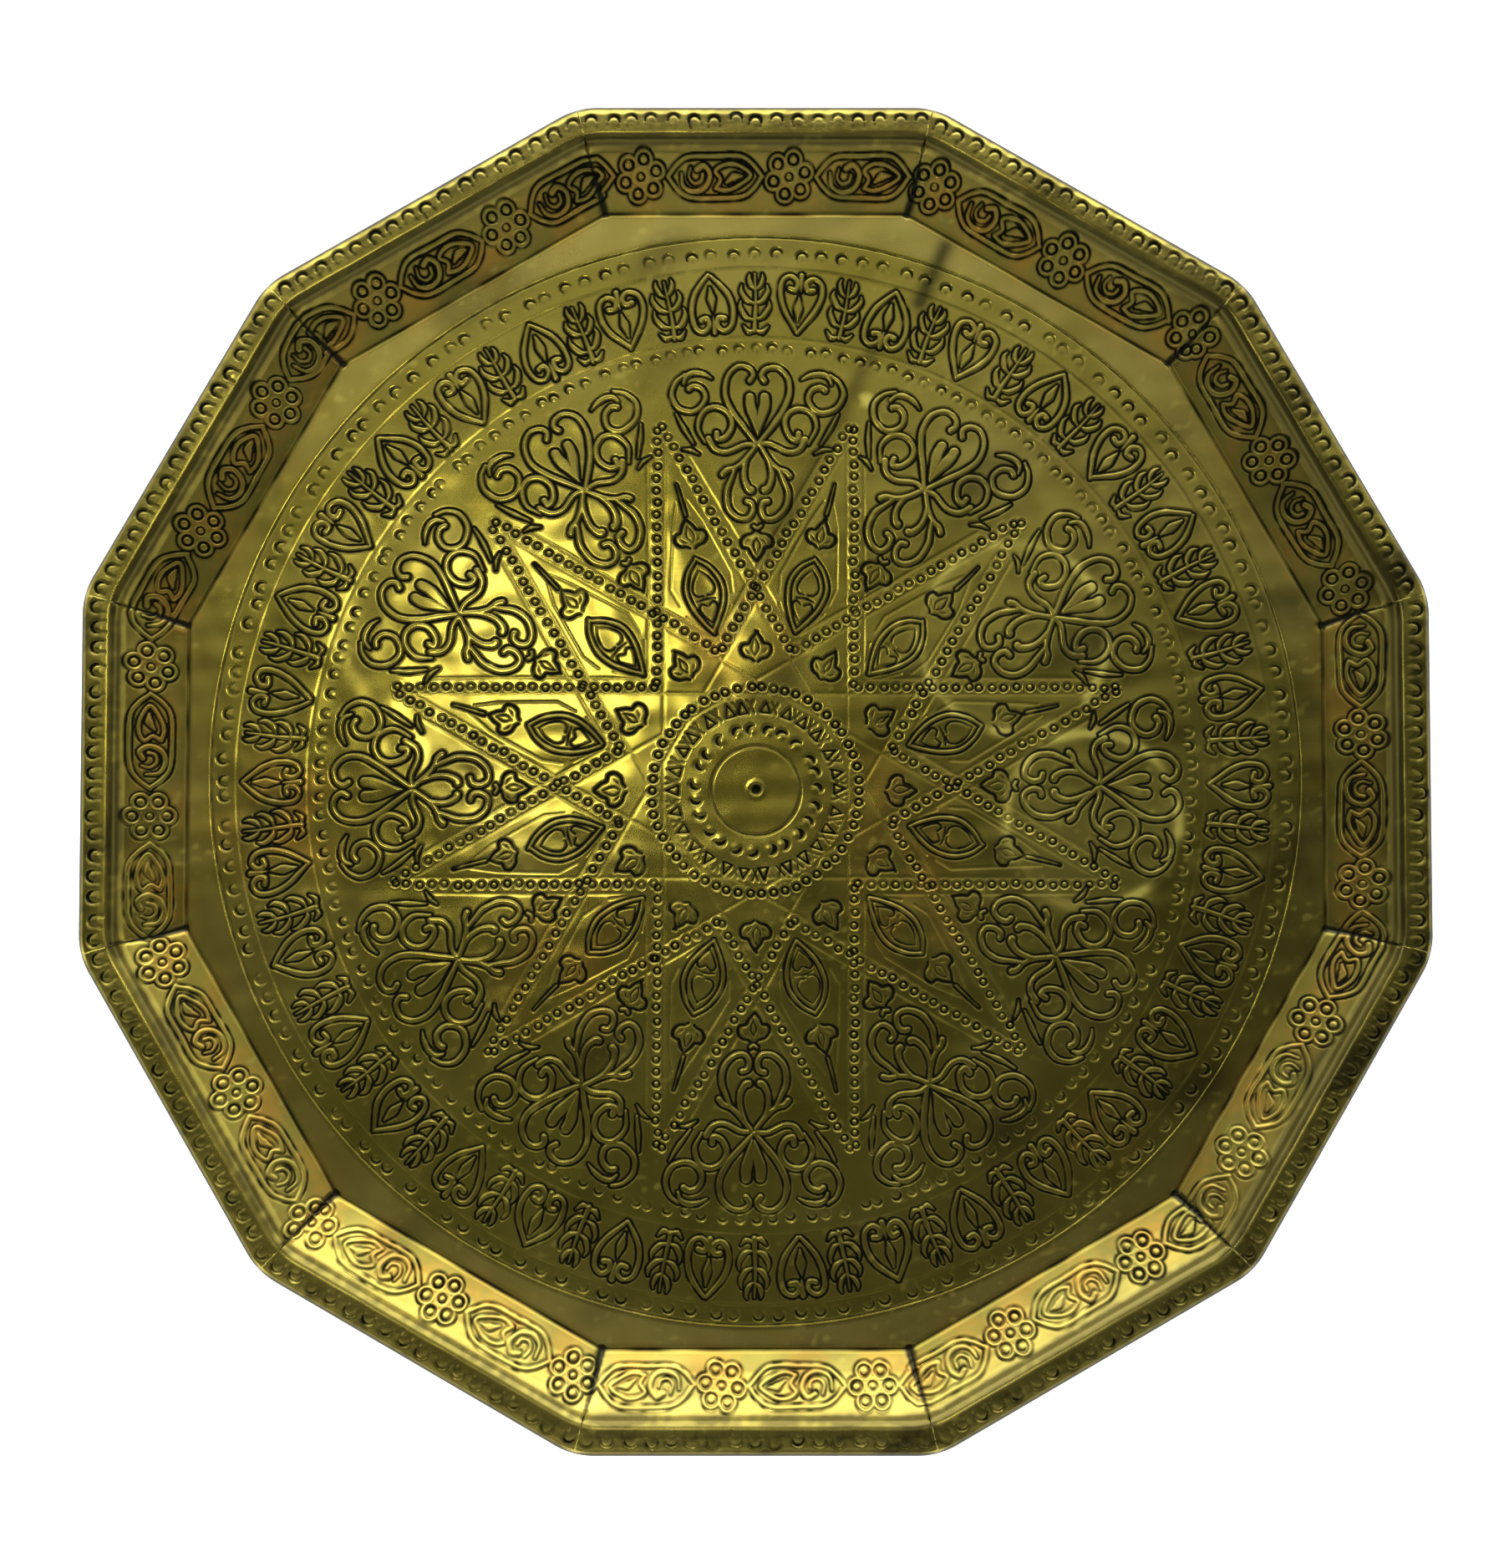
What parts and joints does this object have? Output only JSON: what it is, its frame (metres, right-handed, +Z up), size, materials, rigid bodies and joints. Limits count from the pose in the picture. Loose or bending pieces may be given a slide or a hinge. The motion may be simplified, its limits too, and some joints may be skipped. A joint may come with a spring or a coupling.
{
  "type": "tray table",
  "caption": "Twelve-sided chased brass tray with a raised wall and rolled lip, lifting off a hexagonal folding wooden stand with turned lattices and lobed arches.",
  "frame": {"origin": "on the ground, under the centre of the tray", "axes": "+Z up; +X and +Y through the middles of two sides of the tray; the root panel of the stand faces -Y"},
  "size_m": [0.58, 0.58, 0.4607],
  "materials": {
    "tray_brass": "aged, chased and punched, with dark patina in the recesses",
    "walnut": "oiled dark hardwood",
    "turned_wood": "turned and waxed hardwood",
    "hinge_brass": "satin, slightly tarnished",
    "screw_brass": "satin"
  },
  "bodies": {
    "panel_1": {"panel_1_stiles": "walnut", "panel_1_top_rail": "walnut", "panel_1_mid_rail": "walnut", "panel_1_lattice": "turned_wood", "panel_1_brackets": "walnut", "panel_1_hinge_leaves_right": "hinge_brass", "panel_1_hinge_leaves_left": "hinge_brass", "panel_1_hinge_pins": "hinge_brass", "panel_1_screws": "screw_brass"},
    "panel_2": {"panel_2_stiles": "walnut", "panel_2_top_rail": "walnut", "panel_2_mid_rail": "walnut", "panel_2_lattice": "turned_wood", "panel_2_brackets": "walnut", "panel_2_hinge_leaves_right": "hinge_brass", "panel_2_hinge_leaves_left": "hinge_brass", "panel_2_hinge_pins": "hinge_brass", "panel_2_screws": "screw_brass"},
    "panel_3": {"panel_3_stiles": "walnut", "panel_3_top_rail": "walnut", "panel_3_mid_rail": "walnut", "panel_3_lattice": "turned_wood", "panel_3_brackets": "walnut", "panel_3_hinge_leaves_right": "hinge_brass", "panel_3_hinge_leaves_left": "hinge_brass", "panel_3_hinge_pins": "hinge_brass", "panel_3_screws": "screw_brass"},
    "panel_4": {"panel_4_stiles": "walnut", "panel_4_top_rail": "walnut", "panel_4_mid_rail": "walnut", "panel_4_lattice": "turned_wood", "panel_4_brackets": "walnut", "panel_4_hinge_leaves_right": "hinge_brass", "panel_4_hinge_leaves_left": "hinge_brass", "panel_4_hinge_pins": "hinge_brass", "panel_4_screws": "screw_brass"},
    "panel_5": {"panel_5_stiles": "walnut", "panel_5_top_rail": "walnut", "panel_5_mid_rail": "walnut", "panel_5_lattice": "turned_wood", "panel_5_brackets": "walnut", "panel_5_hinge_leaves_right": "hinge_brass", "panel_5_hinge_leaves_left": "hinge_brass", "panel_5_hinge_pins": "hinge_brass", "panel_5_screws": "screw_brass"},
    "panel_6": {"panel_6_stiles": "walnut", "panel_6_top_rail": "walnut", "panel_6_mid_rail": "walnut", "panel_6_lattice": "turned_wood", "panel_6_brackets": "walnut", "panel_6_hinge_leaves_right": "hinge_brass", "panel_6_hinge_leaves_left": "hinge_brass", "panel_6_hinge_pins": "hinge_brass", "panel_6_screws": "screw_brass"},
    "tray": {"tray": "tray_brass"}
  },
  "joints": [
    {"name": "tray_lift", "type": "slide", "parent": "panel_1", "child": "tray", "axis": [0, 0, 1], "range_m": [0, 0.15]},
    {"name": "fold", "type": "hinge", "parent": "panel_1", "child": "panel_2", "pos_m": [0.1, -0.17321, 0.23], "axis": [0, 0, -1], "range_deg": [-30, 59]},
    {"name": "fold_2_3", "type": "hinge", "parent": "panel_2", "child": "panel_3", "pos_m": [0.2, 0, 0.23], "axis": [0, 0, 1], "range_deg": [-60, 118]},
    {"name": "fold_3_4", "type": "hinge", "parent": "panel_3", "child": "panel_4", "pos_m": [0.1, 0.17321, 0.23], "axis": [0, 0, -1], "range_deg": [-30, 59]},
    {"name": "fold_6_1", "type": "hinge", "parent": "panel_1", "child": "panel_6", "pos_m": [-0.1, -0.17321, 0.23], "axis": [0, 0, 1], "range_deg": [-30, 59]},
    {"name": "fold_5_6", "type": "hinge", "parent": "panel_6", "child": "panel_5", "pos_m": [-0.2, 0, 0.23], "axis": [0, 0, -1], "range_deg": [-60, 118]}
  ],
  "couplings": [
    {"joint": "fold_2_3", "follows": "fold", "ratio": 2},
    {"joint": "fold_3_4", "follows": "fold", "ratio": 1},
    {"joint": "fold_6_1", "follows": "fold", "ratio": 1},
    {"joint": "fold_5_6", "follows": "fold", "ratio": 2}
  ]
}
